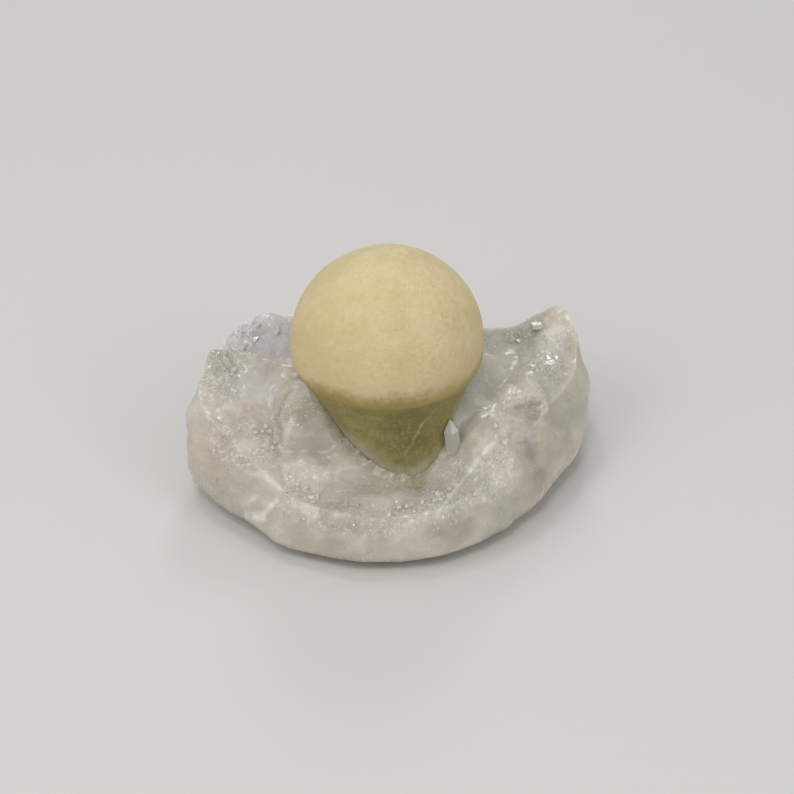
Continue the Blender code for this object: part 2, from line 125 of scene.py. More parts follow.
# forms of the quartz, as the part's solids have them: lengths in mm, azimuths in degrees from +X
quartzForm = {
    "plan": [
        (0, 28.2), (10, 29.7), (20, 30.5), (28, 28.7), (36, 24.4), (48, 21.3), (70, 20.2), (98, 20.4),
        (122, 23.0), (138, 25.4), (152, 28.2), (162, 26.6), (173, 26.7), (188, 29.2), (202, 27.6),
        (218, 25.0), (234, 24.9), (252, 24.0), (270, 23.5), (290, 23.4), (306, 23.7), (322, 24.3),
        (340, 25.0), (352, 26.6),
    ],
    "rim": [
        (0, 14.6), (10, 17.6), (20, 18.6), (27, 18.9), (36, 15.6), (48, 13.8), (75, 12.6), (100, 12.8),
        (125, 14.2), (140, 15.2), (152, 15.0), (162, 13.6), (173, 17.6), (184, 16.4), (198, 13.2),
        (212, 10.8), (230, 9.4), (250, 9.0), (290, 9.2), (315, 10.2), (335, 12.0), (350, 13.6),
    ],
    "inset": [
        (10, 2.2), (30, 1.6), (150, 1.6), (175, 1.8), (200, 3.4), (230, 3.0), (270, 2.0), (305, 2.8),
        (340, 3.8),
    ],
    "valley": [
        (0, 14.4), (20, 14.8), (36, 13.8), (75, 12.6), (120, 12.6), (150, 13.0), (162, 14.0), (173, 16.8),
        (187, 15.0), (205, 12.0), (225, 9.4), (250, 8.3), (285, 8.1), (308, 10.6), (322, 13.0), (335, 14.3),
        (348, 14.8),
    ],
    "collar": [
        (0, 18.4), (20, 17.4), (45, 16.0), (90, 14.6), (135, 14.8), (175, 16.8), (205, 14.6), (225, 12.0),
        (257, 9.8), (275, 8.2), (293, 8.2), (304, 11.2), (313, 15.4), (323, 17.6), (334, 18.8), (348, 18.8),
    ],
    "collarShare": 0.46,
    "valleyShare": 0.66,
    "bulgeShare": 0.38,
    "footInset": 5.2,
    "footCurve": 2.2,
    "rimCurve": 1.8,
    "lobeCurve": 1.5,
    "lumps": {  # x, y, half lengths, turn, height
        "leftLobe": (-20.6, -5.0, 5.2, 8.5, 8, 1.1),
        "leftCrest": (-20.0, 1.8, 5.0, 2.6, 0, 1.0),
        "backLeftLobe": (-17.6, 13.2, 5.4, 3.6, -30, 1.2),
        "knob": (-11.7, -5.4, 3.8, 3.7, -8, 3.2),
        "shelfUnderKnob": (-11.0, -12.0, 4.2, 2.7, 8, 1.6),
        "frontSwell": (-1.0, -17.0, 4.6, 2.4, 0, 0.7),
        "rightSlope": (13.6, -10.4, 3.8, 4.8, -35, 1.5),
        "rightShoulder": (20.4, 0.6, 4.2, 3.6, 20, 1.3),
        "rightPeak": (23.4, 10.4, 3.2, 2.6, 30, 1.0),
        "rightFoot": (20.8, -8.6, 3.0, 4.4, 25, 1.1),
    },
    "lumpFlatness": 1.6,
    "ledges": {  # x, y, half length, facing, drop, fade
        "lobeEdge": (-21.0, 4.6, 6.0, 86, 2.2, 4.0),
        "valleyEdge": (-15.4, -12.0, 6.5, 12, 0.5, 4.0),
        "knobSide": (-15.2, -6.0, 3.0, 190, 1.0, 2.2),
        "knobFoot": (-11.2, -9.2, 3.4, -84, 0.9, 2.0),
        "rightLedge": (18.8, -3.6, 3.0, -72, 1.8, 3.4),
        "fluteEdge": (20.6, -8.6, 4.2, 170, 1.3, 2.6),
        "rootLedge": (-6.4, -12.6, 3.0, -60, 0.8, 2.6),
    },
    "ledgeSoftness": 0.35,
    "chips": {  # azimuth, height, half size, depth
        "leftChip": (227, 7.0, 3.0, 0.9),
        "leftNick": (176, 12.5, 1.9, 0.8),
        "rightNick": (14, 14.0, 1.8, 0.9),
        "rightFacet": (336, 8.0, 3.4, 0.7),
        "frontFacet": (306, 5.0, 3.6, 0.6),
        "backHollow": (82, 7.0, 5.0, 1.3),
        "backRightHollow": (50, 6.5, 3.6, 0.9),
        "backLeftHollow": (138, 6.5, 3.8, 0.9),
    },
    "waves": [(11.0, 0.34, 21), (5.0, 0.12, 22)],  # wavelength, height, seed
    "facets": (4.6, 1.05, 0.55, 7),  # cell, relief, mean, seed
    "facetSideways": 0.6,
    "facetUpward": 0.8,
    "waveUpward": 0.6,
    "footFade": 0.3,
    "rimFade": 0.2,
}

# what the fine surface adds, and how fine it is
# climb is 0 to 1 up the wall, then 1 to 2 inwards over the top
quartzDetail = {
    "around": 440,
    "footRings": 4,
    "wallRings": 58,
    "topRings": 140,
    "hiddenRings": 14,
    "hiddenShare": 0.30,
    "coarse": (2.6, 0.22, 31),  # cell, relief in the smooth places, seed
    "coarseDruse": 0.05,  # relief that the sugary places add
    "fine": (0.95, 0.045, 32),
    "fineDruse": 0.08,
    "facetMean": 0.6,
    "ripple": (1.6, 0.025, 33),
    "druseClimb": 0.74,
    "pocketOverlap": 0.35,
    "pocketHeights": (19.0, 3.2, -0.1),
    "leftEnd": (4.5, 0.8),  # X at which the left of the root ends, and the softness of that end
    "fillet": (1.9, 1.0, 1.5, 54),  # reach, rise, wavelength of its ragged edge, seed
    "filletTop": (16.5, 2.0),  # height over which it is gone, and the fade below
    "filletSugar": 0.5,
    "tint": (0.9, 2.3, 1.2),  # reach, what the left adds to it, sharpness
    "tintTop": (18.5, 3.0),
    "tintPatches": (2.4, 52),  # wavelength, seed
}

fluoriteForm = {
    "radius": 13.5,
    "height": 23.0,
    "squash": 0.985,
    "lowest": 98,
    "root": [  # height, centre to the right, centre to the back, radius
        (20.2, 0.0, 0.0, 12.9), (18.9, 0.1, -0.4, 11.9), (16.6, 0.4, -1.5, 10.5), (13.8, 1.1, -2.9, 9.2),
        (11.0, 1.9, -4.5, 7.6), (8.4, 2.7, -6.4, 5.6), (5.8, 3.2, -7.9, 3.9), (3.8, 3.4, -8.5, 2.4),
    ],
    "tip": (3.4, -8.6, 2.9),
    "waves": (11.0, 0.08, 5),
    "around": 320,
    "ballRings": 150,
    "rootRings": 110,
    "grain": [(1.4, 0.022, 41), (0.6, 0.012, 42)],
    "rimLine": [  # azimuth, height at which the skin ends
        (0, 20.6), (60, 20.3), (120, 20.0), (170, 18.9), (200, 18.3), (225, 19.5), (250, 20.9),
        (270, 21.3), (300, 21.2), (330, 20.9),
    ],
}


def smoothThrough(stations, at):
    # a cubic between each two stations, with the slope of its neighbours
    spots, values = np.array(stations, float).T
    slopes = np.gradient(values, spots)
    before = np.clip(np.searchsorted(spots, at, side="right") - 1, 0, len(spots) - 2)
    width = spots[before + 1] - spots[before]
    t = (at - spots[before]) / width
    rise = t * t * (3 - 2 * t)
    bend = slopes[before] * t * (1 - t) ** 2 - slopes[before + 1] * t * t * (1 - t)
    return values[before] * (1 - rise) + values[before + 1] * rise + width * bend


def around(stations, azimuth):
    # the same round a full turn: two stations are repeated past each end
    table = np.array(stations, float)
    return smoothThrough(np.concatenate([table[-2:] - (360, 0), table, table[:2] + (360, 0)]), azimuth)


def waves(points, wavelength, seed, count=18):
    # sum of sine waves in random directions, over the root of their number
    random = np.random.default_rng(seed)
    directions = random.normal(size=(count, 3))
    directions /= np.linalg.norm(directions, axis=1, keepdims=True)
    lengths = wavelength * random.uniform(0.7, 1.5, count)
    phases = random.uniform(0, 2 * math.pi, count)
    turns = points @ (directions / lengths[:, None]).T * 2 * math.pi + phases
    return np.sin(turns).sum(axis=-1) / math.sqrt(count)


def facets(points, cell, seed):
    # 1 minus the distance to the nearest seed, measured as a turned cube's, so that it rises in flat sides
    random = np.random.default_rng(seed)
    size, strides = 512, (73, 179, 283)  # how many seeds repeat, and how a block picks its own
    jitter = random.uniform(0.15, 0.85, (size, 3))
    turns, _ = np.linalg.qr(random.normal(size=(size, 3, 3)))
    own = np.floor(points / cell).astype(int)
    nearest = np.full(points.shape[:-1], np.inf)
    for step in np.ndindex(3, 3, 3):
        block = own + np.array(step) - 1
        pick = (block @ strides) % size
        away = points / cell - (block + jitter[pick])
        turned = np.einsum("...ij,...j->...i", turns[pick], away)
        nearest = np.minimum(nearest, np.abs(turned).max(axis=-1))
    return 1 - nearest


def lump(x, y, shape):
    # height times e to the minus of a power of the squared distance
    centreX, centreY, halfX, halfY, turn, height = shape
    angle = math.radians(turn)
    along = (x - centreX) * math.cos(angle) + (y - centreY) * math.sin(angle)
    across = (y - centreY) * math.cos(angle) - (x - centreX) * math.sin(angle)
    share = (along / halfX) ** 2 + (across / halfY) ** 2
    return height * np.exp(-(share ** quartzForm["lumpFlatness"]))


def ledge(x, y, shape):
    # a bell that swells to an edge, less a soft step that heals past it, faded at the edge's ends
    middleX, middleY, halfLength, facing, drop, fade = shape
    angle = math.radians(facing)
    past = (x - middleX) * math.cos(angle) + (y - middleY) * math.sin(angle)
    beside = (y - middleY) * math.cos(angle) - (x - middleX) * math.sin(angle)
    fall = 0.5 + 0.5 * np.tanh(past / quartzForm["ledgeSoftness"])
    heal = np.exp(-((np.clip(past, 0, None) / fade) ** 2))
    swell = np.exp(-((past / fade) ** 2)) * 0.5
    return drop * (swell - fall * heal) * np.exp(-((beside / halfLength) ** 4))


def rimRadius(azimuth):
    # the plan's radius less the inset
    return around(quartzForm["plan"], azimuth) - around(quartzForm["inset"], azimuth)


def upperSide(x, y):
    # collar height by the fluorite, smoothly to the valley's, then by a power of the way out to the rim's;
    # lumps and ledges are added to it
    azimuth = np.degrees(np.arctan2(y, x)) % 360
    share = np.hypot(x, y) / rimRadius(azimuth)
    collar = around(quartzForm["collar"], azimuth)
    valley = around(quartzForm["valley"], azimuth)
    rim = around(quartzForm["rim"], azimuth)
    near, far = quartzForm["collarShare"], quartzForm["valleyShare"]
    inner = np.clip((share - near) / (far - near), 0, 1)
    outer = np.clip((share - far) / (1 - far), 0, 1.05)
    height = collar + (valley - collar) * inner * inner * (3 - 2 * inner)
    height = height + (rim - valley) * outer ** quartzForm["lobeCurve"]
    for shape in quartzForm["lumps"].values():
        height = height + lump(x, y, shape)
    for shape in quartzForm["ledges"].values():
        height = height + ledge(x, y, shape)
    return height


def quartzRings():
    # rings u around by v along: out on the underside, up the wall, over the rim to the middle of the top
    detail = quartzDetail
    azimuth = np.arange(detail["around"]) * 360 / detail["around"]
    turn = np.radians(azimuth)
    circle = np.stack([np.cos(turn), np.sin(turn)], axis=1)
    plan = around(quartzForm["plan"], azimuth)
    rim = rimRadius(azimuth)
    rimZ = upperSide(rim * circle[:, 0], rim * circle[:, 1])
    bulge = quartzForm["bulgeShare"]
    out = np.linspace(0, 1, detail["footRings"] + 1)[1:-1, None]
    footFlat = ((plan - quartzForm["footInset"]) * out)[..., None] * circle
    foot = np.concatenate([footFlat, np.zeros(footFlat.shape[:2] + (1,))], axis=2)
    up = np.linspace(0, 1, detail["wallRings"] + 1)[:, None]
    below = np.clip((bulge - up) / bulge, 0, 1) ** quartzForm["footCurve"]
    above = np.clip((up - bulge) / (1 - bulge), 0, 1) ** quartzForm["rimCurve"]
    radius = plan - quartzForm["footInset"] * below - (plan - rim) * above
    wall = np.concatenate([radius[..., None] * circle, (rimZ * up)[..., None]], axis=2)
    seen = np.linspace(1, detail["hiddenShare"], detail["topRings"] + 1)[1:]
    hidden = np.linspace(detail["hiddenShare"], 0, detail["hiddenRings"] + 1)[1:-1]
    inwards = np.concatenate([seen, hidden])[:, None]
    flat = (rim * inwards)[..., None] * circle
    top = np.concatenate([flat, upperSide(flat[..., 0], flat[..., 1])[..., None]], axis=2)
    climb = np.concatenate([0 * out[:, 0], up[:, 0], 2 - inwards[:, 0]])
    return np.concatenate([foot, wall, top]), climb


def chips(rings):
    # depth times e to the minus of the fourth power of the distance in half sizes
    depths = np.zeros(rings.shape[:2])
    for azimuth, height, halfSize, depth in quartzForm["chips"].values():
        radius = around(quartzForm["plan"], azimuth)
        angle = math.radians(azimuth)
        middle = (radius * math.cos(angle), radius * math.sin(angle), height)
        depths += depth * np.exp(-((np.linalg.norm(rings - middle, axis=2) / halfSize) ** 4))
    return depths


def unevenness(points):
    # soft waves, and flat broken faces: how far each moves the surface
    push = np.zeros(points.shape[:-1])
    for wavelength, height, seed in quartzForm["waves"]:
        push += height * waves(points, wavelength, seed)
    cell, relief, mean, seed = quartzForm["facets"]
    return push, relief * (facets(points, cell, seed) - mean)


def roughened(rings, climb):
    # the wall moves outwards and the top moves up by the unevenness, with soft ends at the foot and the rim
    outward = rings * (1, 1, 0)
    outward /= np.linalg.norm(outward, axis=2, keepdims=True)
    upwardShare = np.clip(climb / quartzForm["footFade"], 0, 1)[:, None]
    sidewaysShare = upwardShare * np.clip(1 - (climb - 1) / quartzForm["rimFade"], 0, 1)[:, None]
    push, faceted = unevenness(rings)
    sideways = (push + faceted * quartzForm["facetSideways"] - chips(rings)) * sidewaysShare
    rings = rings + outward * sideways[..., None]
    rings[..., 2] += (push * quartzForm["waveUpward"] + faceted * quartzForm["facetUpward"]) * upwardShare
    return rings


def gridNormals(rings):
    # cross product of the steps along v and around u
    aroundStep = np.roll(rings, -1, axis=1) - np.roll(rings, 1, axis=1)
    alongStep = np.gradient(rings, axis=0)
    normals = np.cross(aroundStep, alongStep)
    return normals / (np.linalg.norm(normals, axis=2, keepdims=True) + 1e-12)


# sugary places: azimuths, shares of the rim's radius, strength
druseZones = {
    "frontRidge": ((232, 304), (0.90, 1.05), 1.0),
    "rightRim": ((308, 322), (0.94, 1.06), 0.9),
    "besideTip": ((288, 308), (0.70, 0.92), 0.7),
    "basinFloor": ((226, 286), (0.62, 0.86), 0.30),
    "rightSlope": ((322, 340), (0.78, 0.96), 0.4),
    "ledgeTop": ((346, 356), (0.76, 0.90), 0.7),
    "rightWing": ((2, 22), (0.72, 0.95), 0.6),
    "rightCrest": ((22, 44), (0.78, 0.97), 0.6),
    "leftCorner": ((168, 186), (0.80, 0.99), 0.9),
    "leftBand": ((202, 212), (0.84, 1.06), 0.9),
    "backLeft": ((134, 158), (0.78, 0.97), 0.5),
    "back": ((60, 112), (0.74, 0.96), 0.7),
    "knobTop": ((195, 211), (0.54, 0.66), 0.8),
    "underKnob": ((208, 226), (0.72, 0.88), 0.5),
}


druseForm = {"fadeDegrees": 7, "fadeShare": 0.06, "patches": (5.5, 51), "least": 0.35, "gain": 0.9}


def druse(rings):
    # soft-edged windows in azimuth and share, broken up by waves
    azimuth = np.degrees(np.arctan2(rings[..., 1], rings[..., 0])) % 360
    share = np.hypot(rings[..., 0], rings[..., 1]) / rimRadius(azimuth)
    strength = np.zeros(rings.shape[:2])
    for (first, last), (inner, outer), most in druseZones.values():
        aside = np.abs((azimuth - (first + last) / 2 + 180) % 360 - 180) - (last - first) / 2
        beyond = np.abs(share - (inner + outer) / 2) - (outer - inner) / 2
        window = np.clip(1 - np.clip(aside, 0, None) / druseForm["fadeDegrees"], 0, 1)
        window = window * np.clip(1 - np.clip(beyond, 0, None) / druseForm["fadeShare"], 0, 1)
        strength = np.maximum(strength, most * window)
    patchy = 0.5 + 0.5 * waves(rings, *druseForm["patches"])
    return strength * np.clip(druseForm["least"] + druseForm["gain"] * patchy, 0, 1)


def rootAt(height):
    # centre and radius of the fluorite's root at a height
    z, x, y, radius = np.array(fluoriteForm["root"]).T[:, ::-1]
    return np.interp(height, z, x), np.interp(height, z, y), np.interp(height, z, radius)


def fromRoot(points):
    # distance from the root's skin: negative inside
    x, y, radius = rootAt(points[..., 2])
    return np.hypot(points[..., 0] - x, points[..., 1] - y) - radius


def pocketed(rings, climb):
    # where the top lies inside the root, it drops to the lowest height at which the root reaches that far
    overlap = quartzDetail["pocketOverlap"]
    inside = (fromRoot(rings) < -overlap) & (climb[:, None] > 1)
    floor = rings[..., 2]
    for height in np.arange(*quartzDetail["pocketHeights"]):
        x, y, radius = rootAt(height)
        within = np.hypot(rings[..., 0] - x, rings[..., 1] - y) < radius - overlap
        floor = np.where(inside & within, np.minimum(height, floor), floor)
    rings = rings.copy()
    rings[..., 2] = np.where(inside, floor, rings[..., 2])
    return rings


def meshFromRings(name, rings, first, last):
    # quads between rings, and a fan to a point at each end
    count, size = rings.shape[:2]
    points = np.concatenate([rings.reshape(-1, 3), [first, last]]) * mm
    k = np.arange(size)
    beside = (k + 1) % size
    here = (np.arange(count - 1) * size)[:, None]
    quads = np.stack([here + k, here + beside, here + size + beside, here + size + k], axis=2)
    quads = quads.reshape(-1, 4)
    split = np.concatenate([quads[:, [0, 1, 2]], quads[:, [0, 2, 3]]])
    end = (count - 1) * size
    firstFan = np.stack([np.full(size, count * size), beside, k], axis=1)
    lastFan = np.stack([np.full(size, count * size + 1), end + k, end + beside], axis=1)
    triangles = np.concatenate([split, firstFan, lastFan])
    return meshFromTriangles(name, points, triangles)


def meshFromTriangles(name, points, triangles):
    mesh = bpy.data.meshes.new(name)
    mesh.vertices.add(len(points))
    mesh.vertices.foreach_set("co", points.astype(np.float32).ravel())
    mesh.loops.add(triangles.size)
    mesh.loops.foreach_set("vertex_index", triangles.astype(np.int32).ravel())
    mesh.polygons.add(len(triangles))
    mesh.polygons.foreach_set("loop_start", np.arange(0, triangles.size, 3, dtype=np.int32))
    mesh.update(calc_edges=True)
    mesh.validate()
    return mesh


def addAttribute(mesh, name, values):
    layer = mesh.attributes.new(name, "FLOAT", "POINT")
    layer.data.foreach_set("value", values.astype(np.float32).ravel())


def addPiece(name, mesh, material, slot, *nodes):
    # the nodes are those that the piece replaces
    piece = bpy.data.objects.new(name, mesh)
    bpy.context.scene.collection.objects.link(piece)
    mesh.materials.append(material)
    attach(piece, "root")
    if nodes:
        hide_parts(*nodes)


# node helpers
def addNode(tree, kind, inputs=None, **settings):
    made = tree.nodes.new("ShaderNode" + kind)
    for key, value in settings.items():
        setattr(made, key, value)
    setInputs(tree, made, inputs or {})
    return made


def setInputs(tree, node, inputs):
    # another node's socket is linked, and anything else is the value of the input itself
    for key, value in inputs.items():
        if isinstance(value, bpy.types.NodeSocket):
            tree.links.new(value, node.inputs[key])
        else:
            node.inputs[key].default_value = value


def maths(tree, operation, first, second=0.0):
    return addNode(tree, "Math", {0: first, 1: second}, operation=operation).outputs[0]


def times(tree, first, second):
    return maths(tree, "MULTIPLY", first, second)


def plus(tree, first, second):
    return maths(tree, "ADD", first, second)


def wandering(tree, pattern, width):
    # (pattern - 0.5) times width
    return times(tree, maths(tree, "SUBTRACT", pattern, 0.5), width)


def vectorMaths(tree, operation, first, second=(0, 0, 0)):
    made = addNode(tree, "VectorMath", {0: first, 1: second}, operation=operation)
    return made.outputs["Value" if operation in ("DOT_PRODUCT", "LENGTH", "DISTANCE") else "Vector"]


def scaled(tree, vector, factor):
    return addNode(tree, "VectorMath", {0: vector, "Scale": factor}, operation="SCALE").outputs["Vector"]


def coordinate(tree, place, axis):
    return addNode(tree, "SeparateXYZ", {0: place}).outputs[axis]


def attribute(tree, name):
    return addNode(tree, "Attribute", attribute_name=name).outputs["Fac"]


def voronoi(tree, place, size):
    return addNode(tree, "TexVoronoi", {"Vector": place, "Scale": 1 / (size * mm)}, feature="F1").outputs


def mapRange(tree, value, low, high, newLow=0.0, newHigh=1.0):
    inputs = {"Value": value, "From Min": low, "From Max": high, "To Min": newLow, "To Max": newHigh}
    return addNode(tree, "MapRange", inputs, interpolation_type="SMOOTHSTEP").outputs["Result"]


def mixColour(tree, share, first, second):
    # the colour sockets of a Mix node are 6 and 7
    return addNode(tree, "Mix", {0: share, 6: first, 7: second}, data_type="RGBA").outputs[2]


def noise(tree, place, size, detail=3.0, roughness=0.55):
    # size in mm
    inputs = {"Vector": place, "Scale": 1 / (size * mm), "Detail": detail, "Roughness": roughness}
    return addNode(tree, "TexNoise", inputs).outputs["Fac"]


def tiltedCells(tree, place, size):
    # each cell is a plane with a random tilt: (place - the cell's point) dotted with (its colour - 0.5)
    cells = voronoi(tree, place, size)
    offset = vectorMaths(tree, "SUBTRACT", place, cells["Position"])
    tilt = vectorMaths(tree, "SUBTRACT", cells["Color"], (0.5, 0.5, 0.5))
    return vectorMaths(tree, "DOT_PRODUCT", offset, tilt)


def nearLine(tree, place, start, end, reach):
    # 1 on the straight line from start to end, 0 beyond reach of it; heights count for less
    begin, finish = Vector(start) * mm, Vector(end) * mm
    along = (finish - begin).normalized()
    length = (finish - begin).length
    fromStart = vectorMaths(tree, "SUBTRACT", place, tuple(begin))
    run = vectorMaths(tree, "DOT_PRODUCT", fromStart, tuple(along))
    held = addNode(tree, "Clamp", {"Value": run, "Min": 0.0, "Max": length}).outputs[0]
    offset = vectorMaths(tree, "SUBTRACT", fromStart, scaled(tree, tuple(along), held))
    offset = vectorMaths(tree, "MULTIPLY", offset, (1, 1, 0.4))
    return mapRange(tree, vectorMaths(tree, "LENGTH", offset), 0.0, reach * mm, 1.0, 0.0)


def nearPoint(tree, place, middle, inner, outer):
    # 1 within inner of a point, 0 beyond outer
    away = vectorMaths(tree, "DISTANCE", place, tuple(Vector(middle) * mm))
    return mapRange(tree, away, inner * mm, outer * mm, 1.0, 0.0)


quartzLook = {
    "ior": 1.544,
    "milk": (0.615, 0.575, 0.50, 1),
    "clear": (0.555, 0.52, 0.45, 1),
    "lilac": (0.64, 0.625, 0.65, 1),
    "greenish": (0.62, 0.61, 0.49, 1),
    "beige": (0.60, 0.51, 0.42, 1),
    "pink": (0.60, 0.43, 0.43, 1),
    # a smoky tone in the spots and dark grains, and painted shade in the lines along the ledges, the groove
    # and round the knob
    "smoke": (0.40, 0.355, 0.315, 1),
    "knob": (0.45, 0.40, 0.315, 1),
    "white": (0.88, 0.87, 0.83, 1),
    "contact": (0.49, 0.445, 0.30, 1),
    "tipOlive": (0.41, 0.375, 0.24, 1),
    "speck": (0.05, 0.04, 0.03, 1),
    "transmission": (0.05, 0.16),  # milky, clear
    "pointTransmission": (0.12, 0.26),
    "gloss": (0.10, 0.30),  # least and most roughness
    "pointGloss": (0.04, 0.16),
    "pointPaintedGlint": 0.16,  # share of white in the small points, a painted glint
    "absorbColour": (0.94, 0.93, 0.88, 1),
    "absorb": 60,
    "subsurface": 0.9,
    "scatterRadius": (1.0, 0.93, 0.80),
    "scatterScale": 3.6 * mm,
    "warpScale": 140.0,
    "warpReach": 4.0 * mm,
    "lineWander": 0.35,  # how much of the warp moves the lines
    "cloud": (9.0, 0.36, 0.66),  # size, where it starts, where it is full
    "wisp": (2.4, 0.52, 0.76),
    "wispShare": 0.12,
    "warmFoot": (0.5 * mm, 5.0 * mm, 0.45),  # full, gone, share
    "grainAndGlintSize": 0.26,
    "paintedGlintShare": (0.04, 0.55),  # white grains, a painted glint: share in smooth places, in sugary places
    "darkShare": (0.0, 0.04),
    "brokenBump": (2.4, 0.10),  # size, tilt
    "facetBump": (0.9, 0.04, 0.11, 0.0),  # size, tilt in smooth and sugary places, where it starts
    "sugarBump": (0.30, 0.05, 0.30, 0.02),
    "softBump": (1.1, 0.05 * mm),
    "spots": {  # colour, place, inner and outer reach, share
        "backLeftLobe": ("lilac", (-18, 13, 15), 3, 9, 0.8),
        "leftLobeFace": ("lilac", (-18.5, -1, 16), 1.5, 6.5, 0.5),
        "byTheBall": ("greenish", (16.5, 6, 16), 2, 8, 0.6),
        "leftWarm": ("beige", (-24, -9.4, 10), 1.5, 6, 0.5),
        "rightWarm": ("beige", (20, -9, 9), 3, 10, 0.45),
        "knobShade": ("knob", (-13.0, -5.6, 15.6), 1.2, 3.6, 0.60),
        "pinkSpot": ("pink", (-20.1, -4.8, 15.2), 0.4, 2.0, 0.35),
        "rightSmoke": ("smoke", (21.3, -11.6, 6.6), 1.0, 3.6, 0.7),
        "frontSmoke": ("smoke", (8.6, -21.5, 5.1), 1.2, 4.4, 0.5),
        "tipTint": ("tipOlive", (4.0, -13.3, 8.3), 0.9, 2.5, 0.95),
    },
    "lines": {  # colour, reach, share of each stretch, places between which the stretches run
        "vein": ("white", 0.55, (0.35, 0.50, 0.70),
                 (16.8, -7.5, 13.8), (15.3, -10.2, 13.7), (13.7, -12.3, 13.1), (11.4, -14.0, 10.9)),
        "veinLow": ("white", 0.5, (0.60, 0.55), (11.4, -14.0, 10.9), (9.6, -15.7, 9.7), (6.7, -20.5, 8.9)),
        "crescent": ("white", 0.7, (0.8, 0.8),
                     (-15.3, -16.5, 7.8), (-17.3, -16.8, 5.4), (-19.8, -15.8, 4.5)),
        # a painted highlight: a white patch where a facet catches the light
        "facetHighlight": ("white", 3.2, (0.95,), (23.4, 8.4, 17.2), (22.9, 5.8, 16.2)),
        # ledgeLip, groove, hook, knobEdge and underKnob are painted shade: dark lines in creases and at the
        # edges of the ledges and the knob
        "ledgeLip": ("smoke", 0.45, (0.70,), (17.8, -4.0, 14.4), (21.5, -3.2, 14.2)),
        "groove": ("smoke", 1.6, (0.75,), (20.1, -4.2, 13.4), (19.8, -9.6, 10.6)),
        "hook": ("smoke", 0.45, (0.8,), (18.0, -9.5, 12.3), (19.2, -8.7, 12.0)),
        "knobEdge": ("smoke", 0.65, (0.75, 0.65),
                     (-13.8, -4.6, 16.7), (-15.4, -6.2, 14.4), (-15.0, -8.2, 12.8)),
        "underKnob": ("smoke", 0.65, (0.50,), (-14.2, -8.9, 12.8), (-8.0, -8.4, 12.4)),
    },
    "specks": [(-23.6, -12.1, 7.4), (-13.9, -16.6, 9.3), (2.4, -14.0, 8.1)],
}


def quartzColour(tree, place, shifted, sugary, cloud):
    # milk and clear by the clouds, then spots, foot, wisps, lines (some painted shade, one a painted
    # highlight), the tint by the root, grains (the white ones painted glints) and specks
    look = quartzLook
    warped = vectorMaths(tree, "ADD", place, shifted)
    nearly = vectorMaths(tree, "ADD", place, scaled(tree, shifted, look["lineWander"]))
    colour = mixColour(tree, cloud, look["clear"], look["milk"])
    for tint, middle, inner, outer, share in look["spots"].values():
        here = times(tree, nearPoint(tree, warped, middle, inner, outer), share)
        colour = mixColour(tree, here, colour, look[tint])
    full, gone, share = look["warmFoot"]
    warmFoot = mapRange(tree, coordinate(tree, warped, "Z"), full, gone, 1.0, 0.0)
    colour = mixColour(tree, times(tree, warmFoot, share), colour, look["beige"])
    size, start, full = look["wisp"]
    wisp = mapRange(tree, noise(tree, warped, size, 5.0, 0.6), start, full)
    colour = mixColour(tree, times(tree, wisp, look["wispShare"]), colour, look["white"])
    broken = mapRange(tree, noise(tree, place, 2.2), 0.30, 0.55, 0.45, 1.0)
    for tint, reach, shares, *places in look["lines"].values():
        for start, end, share in zip(places, places[1:], shares):
            here = times(tree, nearLine(tree, nearly, start, end, reach), share)
            colour = mixColour(tree, times(tree, here, broken), colour, look[tint])
    colour = mixColour(tree, attribute(tree, "rootward"), colour, look["contact"])
    # the white grains, mostly in the sugary places, are painted glints; the dark grains are a darker tone
    grainsAndGlints = addNode(tree, "SeparateColor", {0: voronoi(tree, place, look["grainAndGlintSize"])["Color"]}).outputs
    white = mapRange(tree, grainsAndGlints[0], 0.78, 0.90)
    glintWhiteShare = mapRange(tree, sugary, 0.0, 0.7, *look["paintedGlintShare"])
    colour = mixColour(tree, times(tree, white, glintWhiteShare), colour, look["white"])
    dark = mapRange(tree, grainsAndGlints[1], 0.80, 0.95)
    darkShare = mapRange(tree, sugary, 0.05, 0.8, *look["darkShare"])
    colour = mixColour(tree, times(tree, dark, darkShare), colour, look["smoke"])
    pepper = mapRange(tree, noise(tree, place, 0.3, 2.0), 0.52, 0.60)
    for spot in look["specks"]:
        here = times(tree, nearPoint(tree, place, spot, 0.2, 0.75), 0.85)
        colour = mixColour(tree, times(tree, here, pepper), colour, look["speck"])
    return colour


def quartzBump(tree, place, shifted, sugary):
    # flat tilted cells of three sizes, steeper where it is sugary, and a soft noise
    look = quartzLook
    size, tilt = look["brokenBump"]
    warped = vectorMaths(tree, "ADD", place, shifted)
    height = times(tree, tiltedCells(tree, warped, size), tilt)
    for size, smooth, rough, start in (look["facetBump"], look["sugarBump"]):
        tilt = mapRange(tree, sugary, start, 0.8, smooth, rough)
        height = plus(tree, height, times(tree, tiltedCells(tree, place, size), tilt))
    size, rise = look["softBump"]
    height = plus(tree, height, times(tree, noise(tree, place, size, 4.0), rise))
    return addNode(tree, "Bump", {"Height": height, "Strength": 0.8, "Distance": 1.0}).outputs["Normal"]


